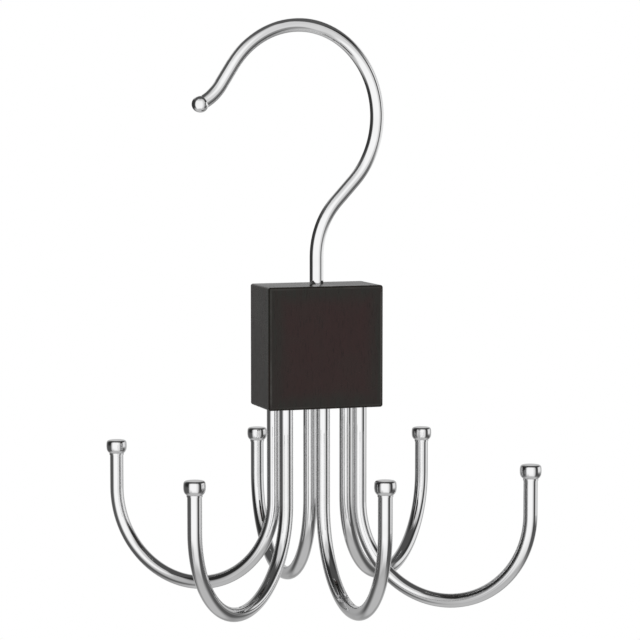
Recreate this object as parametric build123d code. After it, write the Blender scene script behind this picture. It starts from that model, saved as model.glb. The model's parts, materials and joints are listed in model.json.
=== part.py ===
"""Swivelling tie hanger: a top hook of bent wire, a wood block and six J-shaped tie hooks.

All lengths are in millimetres. The origin is the rod seat, the underside of the top hook's crown.
+Z points up, and +X runs in the plane of the top hook, away from its tip.
"""
from build123d import *
import os
from math import cos, radians, sin, sqrt

# Wire: the top hook and all six tie hooks are bent from the same stock.
wire_diameter = 5.0
wire_radius = wire_diameter / 2
wire_end_bevel = 0.4

# Top hook, bent in one plane, from the block upwards and round to its tip.
shank_straight = 9.9
neck_bend_radius = 27.9
neck_bend_angle = 45.4
neck_straight = 10.4
crown_radius = 32.5
crown_angle = 191.0
lip_straight = 8.5
lip_bend_radius = 18.7
lip_bend_angle = 25.4
tip_straight = 0.9
ball_diameter = 6.0
ball_spigot_diameter = 2.6
ball_spigot_length = 2.4
ball_hole_spare = 0.4

# Wood block.
block_width = 43.0
block_depth = 23.0
block_height = 44.0
block_edge_radius = 0.9
block_rest_turn = -12.0

# Swivel: the shank runs in a bore, and its upset head holds a washer against a shoulder.
shank_clearance = 0.05
counterbore_diameter = 8.0
counterbore_depth = 9.0
washer_diameter = 7.4
washer_hole_clearance = 0.1
washer_thickness = 1.0
head_diameter = 6.8
head_rim_height = 0.8
head_dome_height = 0.8

# Tie hooks: two mirrored fans of three, on a grid of two rows and three columns.
column_pitch = 13.9
row_spacing = 15.0
fan_angle = 45.0
middle_hook_angle = 90.0
tie_hook_span = 66.5
tie_bend_angle = 180.0
tie_hook_drop = 34.6
tie_hook_tip_drop = 16.9
stem_insertion = 25.0
stem_bore_spare = 1.0

# End caps, turned to a barrel shape and pushed over the wire ends.
cap_diameter = 7.6
cap_belt_bulge = 0.1
cap_flat_diameter = 5.8
cap_lip_diameter = 5.4
cap_lip_height = 0.65
cap_shoulder_height = 1.5
cap_belt_height = 2.5
cap_rounding_height = 0.8
cap_socket_depth = 4.0

# One overrun serves every cut that runs past a face.
cut_overrun = 2.0

# Places along the swivel axis and in the plane of the top hook, measured from the rod seat.
neck_end_x = neck_bend_radius * (1 - cos(radians(neck_bend_angle)))
neck_end_z = shank_straight + neck_bend_radius * sin(radians(neck_bend_angle))
crown_start_x = neck_end_x + neck_straight * sin(radians(neck_bend_angle))
crown_start_z = neck_end_z + neck_straight * cos(radians(neck_bend_angle))
crown_center_x = crown_start_x - crown_radius * cos(radians(neck_bend_angle))
crown_center_z = crown_start_z + crown_radius * sin(radians(neck_bend_angle))
swivel_x = -crown_center_x
block_top_z = -(crown_center_z + crown_radius - wire_radius)
block_bottom_z = block_top_z - block_height
shoulder_z = block_bottom_z + counterbore_depth
washer_bottom_z = shoulder_z - washer_thickness

# Places of the tie hooks, in the block's own axes.
tie_bend_radius = tie_hook_span / 2
bend_center_z = block_bottom_z - tie_hook_drop
cap_height = cap_lip_height + cap_shoulder_height + cap_belt_height + cap_rounding_height
cap_top_z = block_bottom_z - tie_hook_tip_drop
cap_bottom_z = cap_top_z - cap_height
wire_tip_z = cap_bottom_z + cap_socket_depth
stem_top_z = block_bottom_z + stem_insertion
ROWS = {"front": -1, "rear": 1}
COLUMNS = {"left": -1, "middle": 0, "right": 1}

swivel_axis = Location((swivel_x, 0, 0))
block_place = swivel_axis * Rotation(0, 0, block_rest_turn)


def upright_cylinder(diameter, bottom_z, top_z, x=0, y=0):
    """A cylinder on a vertical axis, between two heights."""
    body = Cylinder(diameter / 2, top_z - bottom_z, align=(Align.CENTER, Align.CENTER, Align.MIN))
    return Location((x, y, bottom_z)) * body


def wire_along(path):
    """Round wire swept along a path of straight runs and tangent arcs."""
    section = Plane(origin=path @ 0, z_dir=path % 0) * Circle(wire_radius)
    return sweep(section, path=path)


def turned(profile):
    """A solid of revolution from a closed profile of edges in the XZ plane."""
    return revolve(make_face(Plane.XZ * profile), axis=Axis.Z)


def make_swivel_hook():
    """Top hook: shank, neck, crown and lip of one wire, with the upset head under the washer."""
    shank = Line((0, washer_bottom_z), (0, block_top_z + shank_straight))
    neck = JernArc(shank @ 1, shank % 1, neck_bend_radius, -neck_bend_angle)
    leaning_run = Line(neck @ 1, neck @ 1 + neck_straight * (neck % 1))
    crown = JernArc(leaning_run @ 1, leaning_run % 1, crown_radius, crown_angle)
    lip_run = Line(crown @ 1, crown @ 1 + lip_straight * (crown % 1))
    lip = JernArc(lip_run @ 1, lip_run % 1, lip_bend_radius, -lip_bend_angle)
    tip_run = Line(lip @ 1, lip @ 1 + tip_straight * (lip % 1))
    path = Plane.XZ * Wire([shank, neck, leaning_run, crown, lip_run, lip, tip_run])
    tip_plane = Plane(origin=path @ 1, z_dir=path % 1)
    spigot = tip_plane * Cylinder(
        ball_spigot_diameter / 2, ball_spigot_length, align=(Align.CENTER, Align.CENTER, Align.MIN)
    )
    hook = wire_along(path) + make_shank_head() + spigot
    return swivel_axis * hook, swivel_axis * tip_plane.location


def make_shank_head():
    """Head upset on the lower end of the shank: a short rim with a domed underside."""
    rim_bottom_z = washer_bottom_z - head_rim_height
    dome_bottom_z = rim_bottom_z - head_dome_height
    rim = (head_diameter / 2, rim_bottom_z)
    profile = [
        Line((0, washer_bottom_z), (head_diameter / 2, washer_bottom_z)),
        Line((head_diameter / 2, washer_bottom_z), rim),
        RadiusArc(rim, (0, dome_bottom_z), dome_radius(head_diameter / 2, head_dome_height)),
        Line((0, dome_bottom_z), (0, washer_bottom_z)),
    ]
    return turned(Curve() + profile)


def dome_radius(half_width, rise):
    """Radius of the arc that rises by rise over half_width."""
    return (half_width**2 + rise**2) / (2 * rise)


def make_hook_ball(tip_place):
    """Ball on the tip: flat where it sits on the wire end, drilled for the wire's spigot."""
    seat_height = sqrt((ball_diameter / 2) ** 2 - wire_radius**2)
    ball = Location((0, 0, seat_height)) * Sphere(ball_diameter / 2)
    ball = split(ball, Plane.XY, keep=Keep.TOP)
    hole_depth = ball_spigot_length + ball_hole_spare
    ball -= upright_cylinder(ball_spigot_diameter, -cut_overrun, hole_depth)
    return tip_place * ball


def make_swivel_washer():
    """Washer between the shoulder in the block and the head of the shank."""
    disc = upright_cylinder(washer_diameter, washer_bottom_z, shoulder_z)
    hole_diameter = wire_diameter + 2 * washer_hole_clearance
    hole = upright_cylinder(hole_diameter, washer_bottom_z - cut_overrun, shoulder_z + cut_overrun)
    return swivel_axis * (disc - hole)


def make_wood_block():
    """Block with rounded edges, a stepped bore for the shank and a blind bore for each stem."""
    block = Box(block_width, block_depth, block_height, align=(Align.CENTER, Align.CENTER, Align.MIN))
    block = Location((0, 0, block_bottom_z)) * block
    block = fillet(block.edges(), block_edge_radius)
    cut_bottom_z = block_bottom_z - cut_overrun
    shank_bore_diameter = wire_diameter + 2 * shank_clearance
    block -= upright_cylinder(shank_bore_diameter, cut_bottom_z, block_top_z + cut_overrun)
    block -= upright_cylinder(counterbore_diameter, cut_bottom_z, shoulder_z)
    for row in ROWS.values():
        for column in COLUMNS.values():
            x, y = stem_position(row, column)
            block -= upright_cylinder(wire_diameter, cut_bottom_z, stem_top_z + stem_bore_spare, x, y)
    return block_place * block


def stem_position(row, column):
    """Where a tie hook enters the underside of the block."""
    return column * column_pitch, row * row_spacing / 2


def tie_hook_place(row, column):
    """Place of a tie hook's stem, with its +X pointing the way the hook opens out."""
    x, y = stem_position(row, column)
    direction = row * (middle_hook_angle - column * fan_angle)
    return block_place * Location((x, y, 0)) * Rotation(0, 0, direction)


def make_tie_hook(place):
    """J-shaped wire: a stem pressed into the block, a half circle and a short upright arm."""
    stem = Line((0, stem_top_z), (0, bend_center_z))
    bend = JernArc(stem @ 1, stem % 1, tie_bend_radius, tie_bend_angle)
    arm = Line(bend @ 1, (tie_hook_span, wire_tip_z))
    path = Plane.XZ * Wire([stem, bend, arm])
    wire = wire_along(path)
    end_edges = wire.faces().filter_by(Axis.Z).edges()
    return place * chamfer(end_edges, wire_end_bevel)


def make_end_cap(place):
    """Barrel-shaped cap with a thin lip below, a flat top and a socket for the wire end."""
    belt_bottom_z = cap_lip_height + cap_shoulder_height
    belt_end_radius = cap_diameter / 2 - cap_belt_bulge
    belt_bottom = (belt_end_radius, belt_bottom_z)
    belt_top = (belt_end_radius, belt_bottom_z + cap_belt_height)
    lip_top = (cap_lip_diameter / 2, cap_lip_height)
    flat_edge = (cap_flat_diameter / 2, cap_height)
    belt = RadiusArc(belt_top, belt_bottom, dome_radius(cap_belt_height / 2, cap_belt_bulge))
    profile = [
        Line((0, 0), (cap_lip_diameter / 2, 0)),
        Line((cap_lip_diameter / 2, 0), lip_top),
        TangentArc(belt_bottom, lip_top, tangent=belt % 1),
        belt,
        TangentArc(belt_top, flat_edge, tangent=-(belt % 0)),
        Line(flat_edge, (0, cap_height)),
        Line((0, cap_height), (0, 0)),
    ]
    cap = turned(Curve() + profile)
    cap -= upright_cylinder(wire_diameter, -cut_overrun, cap_socket_depth)
    return place * Location((tie_hook_span, 0, cap_bottom_z)) * cap


def make_parts():
    """Every piece of the hanger, by node name."""
    swivel_hook, tip_place = make_swivel_hook()
    parts = {
        "swivel_hook": swivel_hook,
        "hook_ball": make_hook_ball(tip_place),
        "swivel_washer": make_swivel_washer(),
        "wood_block": make_wood_block(),
    }
    for row_name, row in ROWS.items():
        for column_name, column in COLUMNS.items():
            place = tie_hook_place(row, column)
            parts[f"tie_hook_{row_name}_{column_name}"] = make_tie_hook(place)
            parts[f"end_cap_{row_name}_{column_name}"] = make_end_cap(place)
    return parts


os.makedirs("parts", exist_ok=True)
for node, shape in make_parts().items():
    export_step(shape, f"parts/{node}.step")
    print(node, "volume", round(shape.volume, 2))
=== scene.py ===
"""Looks for a swivelling tie hanger: chromed wires and caps, a dark stained block and a plain studio.

All lengths are in metres, in the frame of the solids. The origin is the rod seat under the crown of
the top hook, +Z points up, and +X runs in the plane of the top hook, away from its tip.
"""
import json
import math

import bmesh
import bpy
from mathutils import Euler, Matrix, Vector


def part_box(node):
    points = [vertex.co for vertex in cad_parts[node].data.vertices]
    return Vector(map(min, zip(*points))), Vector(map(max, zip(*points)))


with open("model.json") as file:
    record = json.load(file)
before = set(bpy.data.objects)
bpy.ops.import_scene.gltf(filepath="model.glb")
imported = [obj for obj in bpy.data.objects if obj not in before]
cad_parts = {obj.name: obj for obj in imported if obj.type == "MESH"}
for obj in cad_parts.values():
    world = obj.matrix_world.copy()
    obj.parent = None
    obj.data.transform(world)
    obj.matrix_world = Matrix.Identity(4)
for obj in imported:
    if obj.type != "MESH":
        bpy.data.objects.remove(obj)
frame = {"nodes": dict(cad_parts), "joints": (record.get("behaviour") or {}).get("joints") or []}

bl_info = {
    "name": "Tie Hanger Looks",
    "version": (1, 0, 0),
    "blender": (4, 5, 0),
    "location": "View3D > Sidebar > Tie Hanger",
    "description": "Finishes and studio for a swivelling tie hanger of chromed wire and dark wood",
    "category": "Material",
}

SWIVEL = frame["joints"][0]
WIRE_NODES = [n for n in frame["nodes"] if n == "swivel_hook" or n.startswith("tie_hook")]
CAP_NODES = [n for n in frame["nodes"] if n.startswith("end_cap") or n == "hook_ball"]
WASHER_NODES = ["swivel_washer"]
BLOCK_NODES = ["wood_block"]
TOP_HOOK_NODES = ["swivel_hook", "hook_ball"]
HANGING_NODES = [n for n in WIRE_NODES + CAP_NODES if n not in TOP_HOOK_NODES]

# The top hook, the block and the tie hooks hang in different light, so each has surroundings of its own.
# Each stands on even bands by elevation, with soft cards painted over them in this order: name, centre
# azimuth and elevation, half width, half height, soft edge across and upwards (degrees), brightness.
# Azimuth is measured from the viewpoint's side of the hanger, positive to the viewer's right.
SURROUNDINGS = {
    "upper": {
        "pieces": TOP_HOOK_NODES, "radius": 20.0, "sky": 0.10, "horizon": 0.30, "ground": 0.55,
        "cards": (
            ("back wash", -155.0, 5.0, 30.0, 35.0, 15.0, 10.0, 1.00),
            ("left flag", -115.0, 0.0, 45.0, 35.0, 20.0, 20.0, 0.04),
            ("right softbox", 130.0, 5.0, 40.0, 20.0, 5.0, 10.0, 0.90),
            ("right low flag", 95.0, -25.0, 15.0, 15.0, 10.0, 15.0, 0.10),
            ("right flag", 95.0, 26.0, 18.0, 8.0, 10.0, 10.0, 0.03),
            ("overhead", 5.0, 10.0, 60.0, 60.0, 5.0, 25.0, 0.75),
            ("front softbox", -12.0, -8.0, 52.0, 52.0, 20.0, 20.0, 1.05),
            ("crown wash", 65.0, 35.0, 10.0, 25.0, 8.0, 8.0, 0.70),
            ("right line", 120.0, 20.0, 5.0, 18.0, 6.0, 15.0, 0.15),
            ("far strip", -160.0, 30.0, 12.0, 15.0, 8.0, 8.0, 1.00),
        ),
    },
    "block": {
        "pieces": BLOCK_NODES + WASHER_NODES, "radius": 25.0, "sky": 0.10, "horizon": 0.12, "ground": 0.20,
        "cards": (
            ("left wash", -130.0, 5.0, 40.0, 50.0, 30.0, 40.0, 0.30),
            ("front softbox", 26.0, 6.0, 44.0, 40.0, 16.0, 20.0, 0.95),
            ("back softbox", 180.0, 22.0, 26.0, 28.0, 16.0, 16.0, 0.70),
        ),
    },
    "lower": {
        "pieces": HANGING_NODES, "radius": 30.0, "sky": 0.08, "horizon": 0.10, "ground": 0.52,
        "cards": (
            ("back wash", 178.0, -6.0, 46.0, 38.0, 20.0, 20.0, 0.40),
            ("left flag", -82.0, 28.0, 25.0, 32.0, 16.0, 10.0, 0.025),
            ("back strip", 165.0, -2.0, 32.0, 24.0, 12.0, 12.0, 0.55),
            ("right flag", 84.0, 33.0, 30.0, 23.0, 12.0, 13.0, 0.04),
            ("right softbox", 101.0, 7.0, 22.0, 19.0, 9.0, 12.0, 0.84),
            ("outer front softbox", -5.0, -4.0, 55.0, 52.0, 12.0, 18.0, 0.50),
            ("middle front softbox", -4.0, 0.0, 43.0, 42.0, 11.0, 20.0, 0.88),
            ("front softbox", -10.0, 3.0, 33.0, 28.0, 14.0, 20.0, 1.06),
            ("overhead patch", -9.0, 50.0, 34.0, 11.0, 11.0, 11.0, 0.66),
            ("right line", 67.0, -2.0, 8.0, 21.0, 7.0, 12.0, 0.05),
            ("low left shade", -38.0, -32.0, 13.0, 10.0, 12.0, 16.0, 0.55),
        ),
    },
}
CARD_SHAPE = (
    "Centre Azimuth", "Centre Elevation", "Half Width", "Half Height", "Soft Across", "Soft Upwards",
)
HORIZON_BAND = (-12.0, 0.0)
GROUND_BAND = (-62.0, -32.0)
DOME_SUBDIVISIONS = 3

# Lamps: azimuth from the viewpoint's side and elevation in degrees, distance and width.
LAMP_PLACES = {"key_lamp": (-48.0, 42.0, 1.2, 0.7), "fill_lamp": (62.0, 20.0, 1.2, 0.8)}

# The floor's paint fades out between these shares of its radius.
FLOOR_FADE_SHARES = (0.5, 0.98)
FLOOR_SEGMENTS = 96

# The sensor's width is in millimetres, and the viewpoint sees from the first to the second distance.
SENSOR_WIDTH = 36.0
CLIP_RANGE = (0.05, 50.0)

# Polishing lines run three ways. Noise shows as a line above a threshold that falls with the cover.
HAIRLINE_TURNS = ((0.35, 0.1, 0.0), (1.2, 0.5, 0.7), (-0.8, 1.1, 2.1))
HAIRLINE_THRESHOLD = 0.74
HAIRLINE_COVER_GAIN = 0.25
HAIRLINE_SOFTNESS = 0.07

# Mottle is the mean of a broad drift and a fine cloud, and the gain spreads it over 0 to 1.
MOTTLE_DRIFT_SHARE = 0.37
MOTTLE_CLOUD_ROUGHNESS = 0.55
MOTTLE_GAIN = 2.5

# Tarnish grows over this range of the handling marks, up to its limit. The plate's roughness is shared
# between the clean metal and the marks.
TARNISH_RANGE = (0.45, 1.0)
TARNISH_LIMIT = 0.5
CLEAN_ROUGHNESS_SHARE = 0.6
MARK_ROUGHNESS_SHARE = 0.8

# Grain: its drift sideways, its stretch along the block, and the noise that shows as bands, fibres and
# pores. Fibres are this many times finer than the bands.
GRAIN_DRIFT_SCALE = 60.0
GRAIN_DRIFT_PITCHES = 2.5
GRAIN_STRETCH = 0.06
FIBRES_PER_BAND = 7.0
GRAIN_ROUGHNESS = 0.6
BAND_RANGE = (0.35, 0.65)
FIBRE_RANGE = (0.4, 0.75)
PORE_RANGE = (0.66, 0.74)

# Warm stain grows inwards from a wide face's edges, and fades out round the corner to a narrow face.
WIDE_FACE_RANGE = (0.0005, 0.002)
HEART_RANGE = (0.0015, 0.008)
WARM_RANGE = (0.0, 0.8)
WARM_LEAST = 0.6

# The painted edge highlight is a pale line that stands in for the light on the rounded edges. It starts and
# ends at these distances from an edge of a wide face. It is weaker at the top and bottom, and in patches.
EDGE_HIGHLIGHT_START = (0.0003, 0.0006)
EDGE_HIGHLIGHT_END = (0.0009, 0.0013)
EDGE_HIGHLIGHT_FACE_RANGE = (0.0001, 0.0004)
EDGE_HIGHLIGHT_TOP_RANGE = (0.001, 0.004)
EDGE_HIGHLIGHT_TOP_LEAST = 0.4
EDGE_HIGHLIGHT_PATCH_RANGE = (0.2, 0.7)
EDGE_HIGHLIGHT_PATCH_LEAST = 0.25
RUBBED_REACH = 0.0012

# Shared effects that are already built, by the name of the function that builds them.
SHARED = {}


def add(tree, kind, sockets=None, **options):
    """Adds a node with these options, and fills its sockets with values or with links."""
    node = tree.nodes.new(kind)
    for name, value in options.items():
        setattr(node, name, value)
    for socket, value in (sockets or {}).items():
        if isinstance(value, bpy.types.NodeSocket):
            tree.links.new(value, node.inputs[socket])
        else:
            node.inputs[socket].default_value = value
    return node


def maths(tree, operation, *values, clamp=False):
    """Result of a Math node on one to three values or sockets."""
    sockets = dict(enumerate(values))
    return add(tree, "ShaderNodeMath", sockets, operation=operation, use_clamp=clamp).outputs[0]


def remap(tree, value, start, end, low=0.0, high=1.0):
    """Value moved from start..end to low..high, clamped, with a soft ramp."""
    sockets = {"Value": value, "From Min": start, "From Max": end, "To Min": low, "To Max": high}
    return add(tree, "ShaderNodeMapRange", sockets, interpolation_type="SMOOTHSTEP").outputs["Result"]


def blend_colour(tree, factor, first, second):
    """Colour between first and second by the factor."""
    node = add(tree, "ShaderNodeMix", data_type="RGBA")
    for socket, value in ((0, factor), (6, first), (7, second)):
        if isinstance(value, bpy.types.NodeSocket):
            tree.links.new(value, node.inputs[socket])
        else:
            node.inputs[socket].default_value = (*value, 1.0) if socket else value
    return node.outputs[2]


def noise(tree, vector, scale, detail=2.0, roughness=0.5, kind="3D"):
    """Value of a noise texture, about 0.5 on average."""
    sockets = {"Scale": scale, "Detail": detail, "Roughness": roughness}
    sockets["W" if kind == "1D" else "Vector"] = vector
    return add(tree, "ShaderNodeTexNoise", sockets, noise_dimensions=kind).outputs[0]


def new_group(name, inputs, outputs):
    """Empty shader node group with its sockets; returns it with its input and output nodes."""
    group = bpy.data.node_groups.new(name, "ShaderNodeTree")
    for label, kind, value in inputs:
        socket = group.interface.new_socket(label, in_out="INPUT", socket_type=kind)
        if value is not None:
            socket.default_value = value
    for label, kind in outputs:
        group.interface.new_socket(label, in_out="OUTPUT", socket_type=kind)
    return group, group.nodes.new("NodeGroupInput").outputs, group.nodes.new("NodeGroupOutput")


def place_group(tree, group, sockets):
    """The group's outputs, placed in the tree with its own values."""
    node = tree.nodes.new("ShaderNodeGroup")
    node.node_tree = group
    for socket, value in sockets.items():
        if isinstance(value, bpy.types.NodeSocket):
            tree.links.new(value, node.inputs[socket])
        else:
            node.inputs[socket].default_value = value
    return node.outputs


def hairline_group():
    """Fine polishing scratches that run several ways, as a mask."""
    group, given, result = new_group(
        "Hanger Hairlines",
        [("Vector", "NodeSocketVector", None), ("Spacing", "NodeSocketFloat", 0.0004),
         ("Length", "NodeSocketFloat", 0.006), ("Cover", "NodeSocketFloat", 0.3)],
        [("Mask", "NodeSocketFloat")],
    )
    across = maths(group, "DIVIDE", 1.0, given["Spacing"])
    along = maths(group, "DIVIDE", 1.0, given["Length"])
    stretch = add(group, "ShaderNodeCombineXYZ", {"X": across, "Y": across, "Z": along}).outputs[0]
    fall = maths(group, "MULTIPLY", given["Cover"], HAIRLINE_COVER_GAIN)
    low = maths(group, "SUBTRACT", HAIRLINE_THRESHOLD, fall)
    high = maths(group, "ADD", low, HAIRLINE_SOFTNESS)
    lines = None
    for turn in HAIRLINE_TURNS:
        turned = add(group, "ShaderNodeVectorRotate", {"Vector": given["Vector"], "Rotation": turn},
                     rotation_type="EULER_XYZ").outputs[0]
        drawn = add(group, "ShaderNodeVectorMath", {0: turned, 1: stretch}, operation="MULTIPLY").outputs[0]
        line = remap(group, noise(group, drawn, 1.0, 1.0), low, high)
        lines = line if lines is None else maths(group, "MAXIMUM", lines, line)
    group.links.new(lines, result.inputs["Mask"])
    return group


def mottle_group():
    """Soft uneven patches, such as handling marks or uneven stain, as a value from 0 to 1."""
    group, given, result = new_group(
        "Hanger Mottle",
        [("Vector", "NodeSocketVector", None), ("Patch", "NodeSocketFloat", 0.008),
         ("Contrast", "NodeSocketFloat", 1.0)],
        [("Value", "NodeSocketFloat")],
    )
    scale = maths(group, "DIVIDE", 1.0, given["Patch"])
    drift = noise(group, given["Vector"], maths(group, "MULTIPLY", scale, MOTTLE_DRIFT_SHARE), 1.0)
    cloud = noise(group, given["Vector"], scale, 4.0, MOTTLE_CLOUD_ROUGHNESS)
    mixed = maths(group, "MULTIPLY", maths(group, "ADD", drift, cloud), 0.5)
    centred = maths(group, "MULTIPLY", maths(group, "SUBTRACT", mixed, 0.5), given["Contrast"])
    value = maths(group, "ADD", maths(group, "MULTIPLY", centred, MOTTLE_GAIN), 0.5, clamp=True)
    group.links.new(value, result.inputs["Value"])
    return group


def rings_group():
    """Faint turning rings about an upright axis, as a height."""
    group, given, result = new_group(
        "Hanger Turning Rings",
        [("Vector", "NodeSocketVector", None), ("Pitch", "NodeSocketFloat", 0.00015)],
        [("Height", "NodeSocketFloat")],
    )
    height = add(group, "ShaderNodeSeparateXYZ", {0: given["Vector"]}).outputs["Z"]
    steps = noise(group, height, maths(group, "DIVIDE", 1.0, given["Pitch"]), 2.0, 0.6, kind="1D")
    group.links.new(steps, result.inputs["Height"])
    return group


def card_group():
    """Mask of one soft card among the surroundings, by azimuth and elevation in degrees."""
    names = ("Azimuth", "Elevation", *CARD_SHAPE)
    group, given, result = new_group(
        "Hanger Studio Card", [(n, "NodeSocketFloat", 0.0) for n in names], [("Mask", "NodeSocketFloat")]
    )
    offset = maths(group, "SUBTRACT", given["Azimuth"], given["Centre Azimuth"])
    sideways = maths(group, "WRAP", offset, 180.0, -180.0)
    upwards = maths(group, "SUBTRACT", given["Elevation"], given["Centre Elevation"])
    masks = []
    for distance, half, soft in ((sideways, given["Half Width"], given["Soft Across"]),
                                 (upwards, given["Half Height"], given["Soft Upwards"])):
        half_soft = maths(group, "MULTIPLY", soft, 0.5)
        inner = maths(group, "SUBTRACT", half, half_soft)
        outer = maths(group, "ADD", half, half_soft)
        masks.append(remap(group, maths(group, "ABSOLUTE", distance), inner, outer, 1.0, 0.0))
    group.links.new(maths(group, "MULTIPLY", *masks), result.inputs["Mask"])
    return group


def shared(builder):
    """The shared effect that this builder makes, built at its first use."""
    name = builder.__name__
    if name not in SHARED:
        SHARED[name] = builder()
    return SHARED[name]


def new_material(name):
    """Material with an empty node tree and an output node; returns it with its tree."""
    material = bpy.data.materials.new(name)
    material.use_nodes = True
    material.node_tree.nodes.clear()
    return material, material.node_tree


def finish_material(tree, shader):
    """Joins the shader to a new material output."""
    output = tree.nodes.new("ShaderNodeOutputMaterial")
    tree.links.new(shader, output.inputs["Surface"])


def finish_nodes(names, material):
    """Gives the material to these nodes, in the slots that they have."""
    for name in names:
        node = frame["nodes"][name]
        if not node.material_slots:
            node.data.materials.append(material)
        for slot in node.material_slots:
            slot.material = material


def chrome_material(name, plate, tarnish_and_edge_highlight, roughness, look, rings=False):
    """Polished chrome: faint ripple of the bent wire, handling marks and polishing hairlines."""
    material, tree = new_material(name)
    place = add(tree, "ShaderNodeTexCoord").outputs["Object"]
    marks = place_group(tree, shared(mottle_group), {
        "Vector": place, "Patch": look.mark_size, "Contrast": look.mark_contrast})["Value"]
    hairlines = place_group(tree, shared(hairline_group), {
        "Vector": place, "Spacing": look.hairline_spacing, "Length": look.hairline_length,
        "Cover": look.hairline_cover})["Mask"]
    tarnish = remap(tree, marks, *TARNISH_RANGE, 0.0, TARNISH_LIMIT)
    colour = blend_colour(tree, tarnish, plate, tarnish_and_edge_highlight)
    haze = maths(tree, "MULTIPLY", marks, roughness * MARK_ROUGHNESS_SHARE)
    plain = maths(tree, "ADD", haze, roughness * CLEAN_ROUGHNESS_SHARE)
    rough = maths(tree, "ADD", maths(tree, "MULTIPLY", hairlines, look.hairline_roughness), plain)
    ripple = noise(tree, place, 1.0 / look.ripple_length, 1.0)
    bump = add(tree, "ShaderNodeBump", {"Height": ripple, "Distance": look.ripple_height, "Strength": 1.0})
    if rings:
        turned = place_group(tree, shared(rings_group), {"Vector": place, "Pitch": look.ring_pitch})["Height"]
        bump = add(tree, "ShaderNodeBump", {"Height": turned, "Distance": look.ring_depth, "Strength": 1.0,
                                            "Normal": bump.outputs[0]})
    bump = add(tree, "ShaderNodeBump", {"Height": hairlines, "Distance": look.hairline_depth, "Strength": 1.0,
                                        "Normal": bump.outputs[0]}, invert=True)
    metal = add(tree, "ShaderNodeBsdfPrincipled", {
        "Base Color": colour, "Metallic": 1.0, "Roughness": rough, "Normal": bump.outputs[0]})
    finish_material(tree, metal.outputs[0])
    return material


def washer_material(look):
    """Dull zinc plate with a fine crystal pattern, dull marks and scratches."""
    material, tree = new_material("washer_zinc")
    place = add(tree, "ShaderNodeTexCoord").outputs["Object"]
    crystals = add(tree, "ShaderNodeTexVoronoi", {"Vector": place, "Scale": 1.0 / look.crystal_size})
    marks = place_group(tree, shared(mottle_group), {
        "Vector": place, "Patch": look.mark_size, "Contrast": look.mark_contrast})["Value"]
    scratches = place_group(tree, shared(hairline_group), {
        "Vector": place, "Spacing": look.scratch_spacing, "Length": look.scratch_length,
        "Cover": look.scratch_cover})["Mask"]
    shade = maths(tree, "ADD", maths(tree, "MULTIPLY", marks, 1.0 - look.crystal_share),
                  maths(tree, "MULTIPLY", crystals.outputs["Distance"], look.crystal_share))
    colour = blend_colour(tree, shade, look.dark_colour, look.pale_colour)
    rough = maths(tree, "ADD", maths(tree, "MULTIPLY", marks, look.mark_roughness), look.roughness)
    bump = add(tree, "ShaderNodeBump", {
        "Height": scratches, "Distance": look.scratch_depth, "Strength": 1.0}, invert=True)
    metal = add(tree, "ShaderNodeBsdfPrincipled", {
        "Base Color": colour, "Metallic": 1.0, "Roughness": rough, "Normal": bump.outputs[0]})
    finish_material(tree, metal.outputs[0])
    return material


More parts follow.
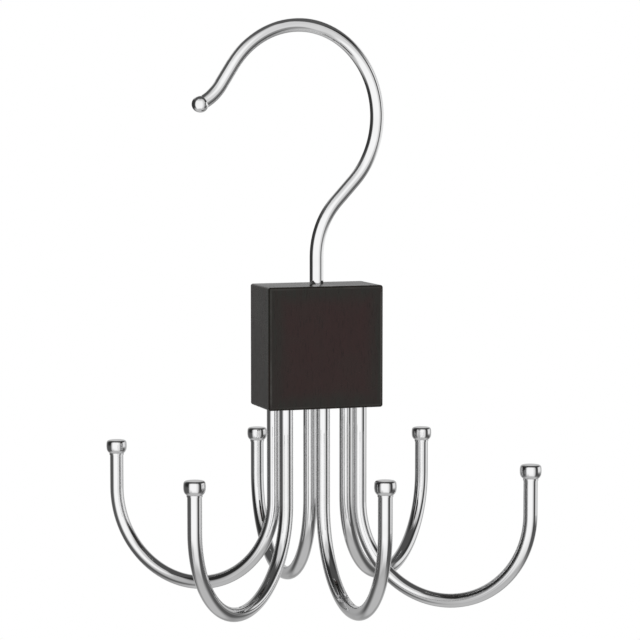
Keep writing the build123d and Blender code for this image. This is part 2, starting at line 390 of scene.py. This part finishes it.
def wood_material(look):
    """Dark stained wood, satin lacquer, upright grain, pores, cooler rims and a painted edge highlight."""
    material, tree = new_material("espresso_wood")
    low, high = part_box("wood_block")
    axis = Vector(SWIVEL["pos_m"])
    middle = Vector((axis.x, axis.y, (low.z + high.z) / 2))
    place = add(tree, "ShaderNodeMapping", {
        "Vector": add(tree, "ShaderNodeTexCoord").outputs["Object"],
        "Location": middle, "Rotation": Euler((0.0, 0.0, look.block_turn))}, vector_type="TEXTURE").outputs[0]
    parts = add(tree, "ShaderNodeSeparateXYZ", {0: place}).outputs
    reach = [size / 2 for size in look.block_size]
    gaps = [maths(tree, "SUBTRACT", half, maths(tree, "ABSOLUTE", part)) for half, part in zip(reach, parts)]
    nearer = maths(tree, "MINIMUM", gaps[0], gaps[1])
    further = maths(tree, "MAXIMUM", gaps[0], gaps[1])
    to_edge = maths(tree, "MAXIMUM", nearer, maths(tree, "MINIMUM", further, gaps[2]))

    drift = maths(tree, "MULTIPLY", noise(tree, place, GRAIN_DRIFT_SCALE, 1.0),
                  look.grain_pitch * GRAIN_DRIFT_PITCHES)
    shifted = add(tree, "ShaderNodeCombineXYZ", {
        "X": maths(tree, "ADD", parts[0], drift), "Y": maths(tree, "ADD", parts[1], drift),
        "Z": maths(tree, "MULTIPLY", parts[2], GRAIN_STRETCH)}).outputs[0]
    bands = noise(tree, shifted, 1.0 / look.grain_pitch, 3.0, GRAIN_ROUGHNESS)
    fibres = noise(tree, shifted, FIBRES_PER_BAND / look.grain_pitch, 2.0, GRAIN_ROUGHNESS)
    pore_stretch = (1.0, 1.0, look.pore_width / look.pore_length)
    pore_place = add(tree, "ShaderNodeVectorMath", {0: place, 1: pore_stretch},
                     operation="MULTIPLY").outputs[0]
    pores = remap(tree, noise(tree, pore_place, 1.0 / look.pore_width, 0.0), *PORE_RANGE)

    wide_face = remap(tree, gaps[1], *WIDE_FACE_RANGE, 1.0, 0.0)
    heart = maths(tree, "MULTIPLY", remap(tree, to_edge, *HEART_RANGE), wide_face)
    uneven = place_group(tree, shared(mottle_group), {
        "Vector": place, "Patch": look.stain_patch, "Contrast": 1.0})["Value"]
    warm = maths(tree, "MULTIPLY", heart, remap(tree, uneven, *WARM_RANGE, WARM_LEAST, 1.0))
    stain = blend_colour(tree, warm, look.rim_colour, look.heart_colour)
    banded = maths(tree, "MULTIPLY", remap(tree, bands, *BAND_RANGE), look.band_strength)
    grained = blend_colour(tree, banded, stain, look.band_colour)
    threads = remap(tree, fibres, *FIBRE_RANGE, 0.0, look.fibre_strength)
    fibred = blend_colour(tree, threads, grained, look.band_colour)
    pored = blend_colour(tree, maths(tree, "MULTIPLY", pores, look.pore_strength), fibred, look.pore_colour)
    # Painted highlight: a pale line along the rounded edges of the wide faces stands in for the light that
    # the rounding catches; it is weaker at the top and bottom, and in patches.
    line_start = remap(tree, to_edge, *EDGE_HIGHLIGHT_START)
    line_end = remap(tree, to_edge, *EDGE_HIGHLIGHT_END, 1.0, 0.0)
    tarnish_and_edge_highlight = maths(tree, "MULTIPLY", line_start, line_end)
    for mask in (remap(tree, gaps[1], *EDGE_HIGHLIGHT_FACE_RANGE, 1.0, 0.0),
                 remap(tree, gaps[2], *EDGE_HIGHLIGHT_TOP_RANGE, EDGE_HIGHLIGHT_TOP_LEAST, 1.0),
                 remap(tree, uneven, *EDGE_HIGHLIGHT_PATCH_RANGE, EDGE_HIGHLIGHT_PATCH_LEAST, 1.0)):
        tarnish_and_edge_highlight = maths(tree, "MULTIPLY", tarnish_and_edge_highlight, mask)
    colour = blend_colour(tree, tarnish_and_edge_highlight, pored, look.edge_highlight_colour)

    scratches = place_group(tree, shared(hairline_group), {
        "Vector": place, "Spacing": look.scratch_spacing, "Length": look.scratch_length,
        "Cover": look.scratch_cover})["Mask"]
    rub = remap(tree, to_edge, 0.0, RUBBED_REACH, 1.0, 0.0)
    rough = maths(tree, "ADD", maths(tree, "MULTIPLY", uneven, look.uneven_roughness), look.lacquer_roughness)
    rough = maths(tree, "ADD", rough, maths(tree, "MULTIPLY", pores, look.pore_roughness))
    rough = maths(tree, "SUBTRACT", rough, maths(tree, "MULTIPLY", rub, look.rubbed_polish))
    rough = maths(tree, "ADD", rough, maths(tree, "MULTIPLY", scratches, look.scratch_roughness))

    peel = noise(tree, place, 1.0 / look.peel_pitch, 1.0)
    bump = add(tree, "ShaderNodeBump", {"Height": peel, "Distance": look.peel_height, "Strength": 1.0})
    bump = add(tree, "ShaderNodeBump", {"Height": bands, "Distance": look.grain_height, "Strength": 1.0,
                                        "Normal": bump.outputs[0]})
    bump = add(tree, "ShaderNodeBump", {"Height": pores, "Distance": look.pore_depth, "Strength": 1.0,
                                        "Normal": bump.outputs[0]}, invert=True)
    wood = add(tree, "ShaderNodeBsdfPrincipled", {
        "Base Color": colour, "Roughness": rough, "IOR": 1.5, "Specular IOR Level": look.lacquer_shine,
        "Normal": bump.outputs[0]})
    finish_material(tree, wood.outputs[0])
    return material


def length_value(name, description, default, low=0.0):
    """A length in metres."""
    return bpy.props.FloatProperty(name=name, description=description, default=default, min=low,
                                   precision=6, subtype="DISTANCE", unit="LENGTH")


def share_value(name, description, default):
    """A number from 0 to 1."""
    return bpy.props.FloatProperty(name=name, description=description, default=default, min=0.0, max=1.0,
                                   subtype="FACTOR")


def amount_value(name, description, default):
    """A number from 0 upwards."""
    return bpy.props.FloatProperty(name=name, description=description, default=default, min=0.0)


def angle_value(name, description, degrees):
    """An angle, with its default in degrees."""
    return bpy.props.FloatProperty(name=name, description=description, default=math.radians(degrees),
                                   subtype="ANGLE", unit="ROTATION")


def power_value(name, description, default):
    """A lamp's power in watts."""
    return bpy.props.FloatProperty(name=name, description=description, default=default, min=0.0, unit="POWER")


def colour_value(name, description, default):
    """A linear colour."""
    return bpy.props.FloatVectorProperty(name=name, description=description, default=default, size=3,
                                         min=0.0, max=1.0, subtype="COLOR")


class HangerMetalLook(bpy.types.PropertyGroup):
    """Finish of the chromed wires and caps."""

    wire_colour: colour_value("Wire plate", "Colour of the chrome on the wires", (0.88, 0.88, 0.885))
    wire_worn_colour: colour_value("Wire tarnish", "Chrome of the wires where it is dulled", (0.8, 0.8, 0.79))
    cap_colour: colour_value("Cap plate", "Colour of the chrome on the caps", (0.87, 0.87, 0.875))
    cap_worn_colour: colour_value("Cap tarnish", "Chrome of the caps where it is dulled", (0.78, 0.78, 0.77))
    wire_roughness: share_value("Wire roughness", "Roughness of the wires' chrome", 0.035)
    cap_roughness: share_value("Cap roughness", "Roughness of the caps' chrome", 0.03)
    mark_size: length_value("Handling marks", "Size of the dull patches", 0.007, 1e-4)
    mark_contrast: amount_value("Mark contrast", "How strongly the dull patches differ", 1.2)
    hairline_spacing: length_value("Hairline spacing", "Distance across the polishing lines", 0.0003, 1e-5)
    hairline_length: length_value("Hairline length", "Length of the polishing lines", 0.006, 1e-4)
    hairline_depth: length_value("Hairline depth", "Depth of the polishing lines", 1.5e-7)
    hairline_cover: share_value("Hairline cover", "How much of the surface has lines", 0.25)
    hairline_roughness: share_value("Hairline roughness", "Roughness that the lines add", 0.03)
    ripple_length: length_value("Ripple length", "Length of the faint waves in the bent wire", 0.009, 1e-4)
    ripple_height: length_value("Ripple height", "Height of the faint waves in the bent wire", 0.000008)
    ring_pitch: length_value("Turning pitch", "Distance between the turning rings of the caps", 0.0002, 1e-5)
    ring_depth: length_value("Turning depth", "Depth of the turning rings of the caps", 4e-7)


class HangerWasherLook(bpy.types.PropertyGroup):
    """Zinc plate of the swivel washer."""

    dark_colour: colour_value("Zinc, dark", "Darker part of the zinc plate", (0.42, 0.42, 0.41))
    pale_colour: colour_value("Zinc, pale", "Paler part of the zinc plate", (0.62, 0.62, 0.6))
    roughness: share_value("Zinc roughness", "Least roughness of the plate", 0.3)
    crystal_size: length_value("Crystal size", "Size of the crystals in the plate", 0.000875, 1e-5)
    crystal_share: share_value("Crystal share", "Share of the crystals in the plate's shades", 0.3)
    mark_size: length_value("Dull marks", "Size of the dull marks", 0.002, 1e-4)
    mark_contrast: amount_value("Mark contrast", "How strongly the dull marks differ", 1.5)
    mark_roughness: share_value("Mark roughness", "Roughness that the dull marks add", 0.18)
    scratch_spacing: length_value("Scratch spacing", "Distance across the scratches", 0.0002, 1e-5)
    scratch_length: length_value("Scratch length", "Length of the scratches", 0.003, 1e-4)
    scratch_depth: length_value("Scratch depth", "Depth of the scratches", 4e-6)
    scratch_cover: share_value("Scratch cover", "How much of the surface has scratches", 0.6)


class HangerWoodLook(bpy.types.PropertyGroup):
    """Stain, grain and lacquer of the block."""

    heart_colour: colour_value("Stain, middle", "Stain in the middle of wide faces", (0.0238, 0.0085, 0.0079))
    rim_colour: colour_value("Stain, rim", "Stain near edges and on narrow faces", (0.0130, 0.0135, 0.0103))
    band_colour: colour_value("Late wood", "Stain in the denser bands of the grain", (0.0180, 0.0068, 0.0062))
    pore_colour: colour_value("Pores", "Stain in the open pores", (0.0090, 0.0050, 0.0045))
    # Painted highlight: colour of the pale line along the rounded edges.
    edge_highlight_colour: colour_value("Edge highlight (painted)", "Pale colour painted along the edges as their highlight", (0.050, 0.047, 0.043))
    stain_patch: length_value("Stain patches", "Size of the uneven patches in the stain", 0.009, 1e-4)
    grain_pitch: length_value("Grain pitch", "Distance between the bands of the grain", 0.0022, 1e-4)
    band_strength: share_value("Band strength", "How strongly the bands show", 0.4)
    fibre_strength: share_value("Fibre strength", "How strongly the fibres show", 0.3)
    pore_strength: share_value("Pore strength", "How strongly the pores show", 0.4)
    grain_height: length_value("Grain height", "Height of the grain under the lacquer", 0.000004)
    pore_width: length_value("Pore width", "Width of an open pore", 0.0003, 1e-5)
    pore_length: length_value("Pore length", "Length of an open pore", 0.0035, 1e-4)
    pore_depth: length_value("Pore depth", "Depth of an open pore", 0.000012)
    peel_height: length_value("Lacquer unevenness", "Height of the faint waves in the lacquer", 0.000002)
    peel_pitch: length_value("Lacquer wave length", "Length of the faint waves in the lacquer", 0.0024, 1e-4)
    lacquer_roughness: share_value("Lacquer roughness", "Roughness of the satin lacquer", 0.24)
    lacquer_shine: share_value("Lacquer shine", "Strength of the lacquer's reflection", 0.25)
    uneven_roughness: share_value("Uneven roughness", "Roughness that uneven lacquer adds", 0.08)
    pore_roughness: share_value("Pore roughness", "Roughness that the pores add", 0.12)
    rubbed_polish: share_value("Rubbed polish", "Roughness that rubbing takes off at the edges", 0.08)
    scratch_spacing: length_value("Scratch spacing", "Distance across the scratches", 0.0003, 1e-5)
    scratch_length: length_value("Scratch length", "Length of the scratches", 0.008, 1e-4)
    scratch_cover: share_value("Scratch cover", "How much of the surface has scratches", 0.1)
    scratch_roughness: share_value("Scratch roughness", "Roughness that the scratches add", 0.1)
    block_turn: angle_value("Block turn", "Turn of the block about the swivel at rest", -12.0)
    block_size: bpy.props.FloatVectorProperty(
        name="Block size", description="Width, depth and height of the block", default=(0.043, 0.023, 0.044),
        size=3, subtype="XYZ", unit="LENGTH")


class HangerStudioLook(bpy.types.PropertyGroup):
    """Floor, lamps, surroundings and viewpoint."""

    background: colour_value("Background", "Colour behind the hanger", (1.0, 1.0, 1.0))
    light_level: share_value("Sky level", "Brightness of the even light from all round", 0.8)
    floor_colour: colour_value("Floor", "Colour of the floor", (0.95, 0.95, 0.95))
    floor_drop: length_value("Floor drop", "Height of the lowest hook above the floor", 0.245)
    floor_radius: length_value("Floor radius", "Radius of the round floor", 0.95, 0.1)
    key_power: power_value("Key lamp", "Power of the large lamp at the left", 3.3)
    fill_power: power_value("Fill lamp", "Power of the large lamp at the right", 1.6)
    view_azimuth: angle_value("View azimuth", "Direction of the viewpoint round the hanger", -30.26)
    view_elevation: angle_value("View elevation", "Height of the viewpoint as an angle", 4.93)
    view_distance: length_value("View distance", "Distance from the viewpoint to the aim", 0.9373, 0.1)
    view_aim: bpy.props.FloatVectorProperty(
        name="View aim", description="Point that the viewpoint looks at",
        default=(0.00820, -0.00064, -0.10315), size=3, precision=5, subtype="TRANSLATION", unit="LENGTH")
    lens: bpy.props.FloatProperty(
        name="Lens", description="Focal length in millimetres on a 36 mm wide sensor", default=146.25,
        min=20.0, subtype="DISTANCE_CAMERA")


class HANGER_OT_plate_wires(bpy.types.Operator):
    """Chrome on the top hook and the six tie hooks"""

    bl_idname = "hanger.plate_wires"
    bl_label = "Plate Wires"

    def execute(self, context):
        look = context.scene.hanger_metal
        chrome = chrome_material("wire_chrome", look.wire_colour, look.wire_worn_colour, look.wire_roughness,
                                 look)
        finish_nodes(WIRE_NODES, chrome)
        return {"FINISHED"}


class HANGER_OT_plate_caps(bpy.types.Operator):
    """Chrome on the end caps and on the ball of the top hook"""

    bl_idname = "hanger.plate_caps"
    bl_label = "Plate Caps"

    def execute(self, context):
        look = context.scene.hanger_metal
        chrome = chrome_material("cap_chrome", look.cap_colour, look.cap_worn_colour, look.cap_roughness,
                                 look, rings=True)
        finish_nodes(CAP_NODES, chrome)
        return {"FINISHED"}


class HANGER_OT_plate_washer(bpy.types.Operator):
    """Zinc on the swivel washer inside the block"""

    bl_idname = "hanger.plate_washer"
    bl_label = "Plate Washer"

    def execute(self, context):
        finish_nodes(WASHER_NODES, washer_material(context.scene.hanger_washer))
        return {"FINISHED"}


class HANGER_OT_stain_block(bpy.types.Operator):
    """Dark stain and satin lacquer on the wood block"""

    bl_idname = "hanger.stain_block"
    bl_label = "Stain Block"

    def execute(self, context):
        finish_nodes(BLOCK_NODES, wood_material(context.scene.hanger_wood))
        return {"FINISHED"}


class HANGER_OT_build_studio(bpy.types.Operator):
    """Floor, lamps, surroundings and viewpoint"""

    bl_idname = "hanger.build_studio"
    bl_label = "Build Studio"

    def execute(self, context):
        look = context.scene.hanger_studio
        build_floor(context.scene, look)
        build_lamps(context.scene, look)
        build_world(context.scene, look)
        for name in SURROUNDINGS:
            build_surroundings(context.scene, look, name)
        build_viewpoint(context.scene, look)
        context.scene.view_settings.view_transform = "Standard"
        return {"FINISHED"}


def outward(azimuth, elevation):
    """Unit vector from the hanger towards this azimuth and elevation; azimuth 0 is the -Y side."""
    level = math.cos(elevation)
    return Vector((math.sin(azimuth) * level, -math.cos(azimuth) * level, math.sin(elevation)))


def build_floor(scene, look):
    """Round pale floor below the hanger that fades out at its rim and is clear from below."""
    lowest = min(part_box(name)[0].z for name in frame["nodes"])
    shape = bmesh.new()
    bmesh.ops.create_circle(shape, cap_ends=True, radius=look.floor_radius, segments=FLOOR_SEGMENTS)
    mesh = bpy.data.meshes.new("studio_floor")
    shape.to_mesh(mesh)
    shape.free()
    floor = bpy.data.objects.new("studio_floor", mesh)
    floor.location = (0.0, 0.0, lowest - look.floor_drop)
    floor.visible_glossy = False
    scene.collection.objects.link(floor)

    material, tree = new_material("studio_floor")
    place = add(tree, "ShaderNodeTexCoord").outputs["Object"]
    distance = add(tree, "ShaderNodeVectorMath", {0: place}, operation="LENGTH").outputs["Value"]
    faded = remap(tree, distance, *(look.floor_radius * share for share in FLOOR_FADE_SHARES))
    below = add(tree, "ShaderNodeNewGeometry").outputs["Backfacing"]
    paint = add(tree, "ShaderNodeBsdfDiffuse", {"Color": (*look.floor_colour, 1.0)}).outputs[0]
    clear = add(tree, "ShaderNodeBsdfTransparent").outputs[0]
    hidden = maths(tree, "MAXIMUM", faded, below)
    finish_material(tree, add(tree, "ShaderNodeMixShader", {0: hidden, 1: paint, 2: clear}).outputs[0])
    mesh.materials.append(material)


def build_lamps(scene, look):
    """Two large soft lamps; the chrome sees the cards of the surroundings in their place."""
    centre = Vector(look.view_aim)
    powers = {"key_lamp": look.key_power, "fill_lamp": look.fill_power}
    for name, (azimuth, elevation, distance, size) in LAMP_PLACES.items():
        data = bpy.data.lights.new(name, "AREA")
        data.energy = powers[name]
        data.size = size
        lamp = bpy.data.objects.new(name, data)
        away = outward(look.view_azimuth + math.radians(azimuth), math.radians(elevation))
        lamp.location = centre + away * distance
        lamp.rotation_euler = away.to_track_quat("Z", "Y").to_euler()
        lamp.visible_glossy = False
        scene.collection.objects.link(lamp)


def build_world(scene, look):
    """White to the camera and even light for matt surfaces; the gloss sees the surroundings instead."""
    world = bpy.data.worlds.new("studio_world")
    world.use_nodes = True
    scene.world = world
    tree = world.node_tree
    tree.nodes.clear()
    rays = add(tree, "ShaderNodeLightPath").outputs
    light, dark, white = (
        add(tree, "ShaderNodeBackground", {"Color": (*colour, 1.0), "Strength": strength}).outputs[0]
        for colour, strength in (((1.0, 1.0, 1.0), look.light_level), ((0.0, 0.0, 0.0), 0.0),
                                 (look.background, 1.0)))
    lit = add(tree, "ShaderNodeMixShader", {0: rays["Is Glossy Ray"], 1: light, 2: dark}).outputs[0]
    seen = maths(tree, "MAXIMUM", rays["Is Camera Ray"], rays["Is Transmission Ray"])
    shown = add(tree, "ShaderNodeMixShader", {0: seen, 1: lit, 2: white}).outputs[0]
    output = tree.nodes.new("ShaderNodeOutputWorld")
    tree.links.new(shown, output.inputs["Surface"])


def build_surroundings(scene, look, name):
    """Dome that only the gloss of its pieces sees, with its bands and soft cards."""
    scheme = SURROUNDINGS[name]
    shape = bmesh.new()
    bmesh.ops.create_icosphere(shape, subdivisions=DOME_SUBDIVISIONS, radius=scheme["radius"])
    mesh = bpy.data.meshes.new(f"{name}_surroundings")
    shape.to_mesh(mesh)
    shape.free()
    dome = bpy.data.objects.new(f"{name}_surroundings", mesh)
    for ray in ("camera", "diffuse", "transmission", "volume_scatter", "shadow"):
        setattr(dome, f"visible_{ray}", False)
    scene.collection.objects.link(dome)
    receivers = bpy.data.collections.new(f"{name}_pieces")
    for node in scheme["pieces"]:
        receivers.objects.link(frame["nodes"][node])
    dome.light_linking.receiver_collection = receivers

    material, tree = new_material(f"{name}_surroundings")
    material.cycles.emission_sampling = "NONE"
    outwards = add(tree, "ShaderNodeVectorMath", {0: add(tree, "ShaderNodeTexCoord").outputs["Object"]},
                   operation="NORMALIZE").outputs[0]
    direction = add(tree, "ShaderNodeVectorRotate", {
        "Vector": outwards, "Axis": (0.0, 0.0, 1.0), "Angle": -look.view_azimuth},
        rotation_type="AXIS_ANGLE").outputs[0]
    parts = add(tree, "ShaderNodeSeparateXYZ", {0: direction}).outputs
    nearness = maths(tree, "MULTIPLY", parts[1], -1.0)
    azimuth = maths(tree, "DEGREES", maths(tree, "ARCTAN2", parts[0], nearness))
    elevation = maths(tree, "DEGREES", maths(tree, "ARCSINE", parts[2]))
    shade = remap(tree, elevation, *HORIZON_BAND, scheme["horizon"], scheme["sky"])
    ground = remap(tree, elevation, *GROUND_BAND, 1.0, 0.0)
    shade = add(tree, "ShaderNodeMix", {0: ground, 2: shade, 3: scheme["ground"]}).outputs[0]
    for card, *values, brightness in scheme["cards"]:
        sockets = {"Azimuth": azimuth, "Elevation": elevation, **dict(zip(CARD_SHAPE, values))}
        mask = place_group(tree, shared(card_group), sockets)["Mask"]
        painted = add(tree, "ShaderNodeMix", {0: mask, 2: shade, 3: brightness})
        painted.label = card
        shade = painted.outputs[0]
    glow = add(tree, "ShaderNodeEmission", {"Color": shade, "Strength": 1.0}).outputs[0]
    clear = add(tree, "ShaderNodeBsdfTransparent").outputs[0]
    finish_material(tree, add(tree, "ShaderNodeAddShader", {0: glow, 1: clear}).outputs[0])
    mesh.materials.append(material)


def build_viewpoint(scene, look):
    """Camera on the viewpoint that the settings give."""
    data = bpy.data.cameras.new("viewpoint")
    data.sensor_width = SENSOR_WIDTH
    data.lens = look.lens
    data.clip_start, data.clip_end = CLIP_RANGE
    camera = bpy.data.objects.new("viewpoint", data)
    away = outward(look.view_azimuth, look.view_elevation)
    camera.location = Vector(look.view_aim) + away * look.view_distance
    camera.rotation_euler = away.to_track_quat("Z", "Y").to_euler()
    scene.collection.objects.link(camera)
    scene.camera = camera


class HANGER_PT_looks(bpy.types.Panel):
    """Steps and settings of the tie hanger's looks"""

    bl_label = "Tie Hanger"
    bl_idname = "HANGER_PT_looks"
    bl_space_type = "VIEW_3D"
    bl_region_type = "UI"
    bl_category = "Tie Hanger"

    def draw(self, context):
        for operator in OPERATORS:
            self.layout.operator(operator.bl_idname)
        for pointer in SETTINGS:
            box = self.layout.box()
            group = getattr(context.scene, pointer)
            for name in group.bl_rna.properties.keys():
                if name not in ("rna_type", "name"):
                    box.prop(group, name)


SETTINGS = {
    "hanger_metal": HangerMetalLook,
    "hanger_washer": HangerWasherLook,
    "hanger_wood": HangerWoodLook,
    "hanger_studio": HangerStudioLook,
}
OPERATORS = (
    HANGER_OT_plate_wires,
    HANGER_OT_plate_caps,
    HANGER_OT_plate_washer,
    HANGER_OT_stain_block,
    HANGER_OT_build_studio,
)


def register():
    """Adds the settings, the operators and the panel."""
    for kind in (*SETTINGS.values(), *OPERATORS, HANGER_PT_looks):
        bpy.utils.register_class(kind)
    for pointer, group in SETTINGS.items():
        setattr(bpy.types.Scene, pointer, bpy.props.PointerProperty(type=group))


def unregister():
    """Takes the settings, the operators and the panel out again."""
    for pointer in SETTINGS:
        delattr(bpy.types.Scene, pointer)
    for kind in reversed((*SETTINGS.values(), *OPERATORS, HANGER_PT_looks)):
        bpy.utils.unregister_class(kind)


def main():
    """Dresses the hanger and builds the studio."""
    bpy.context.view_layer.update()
    register()
    bpy.ops.hanger.plate_wires()
    bpy.ops.hanger.plate_caps()
    bpy.ops.hanger.plate_washer()
    bpy.ops.hanger.stain_block()
    bpy.ops.hanger.build_studio()


if __name__ == "__main__":
    main()
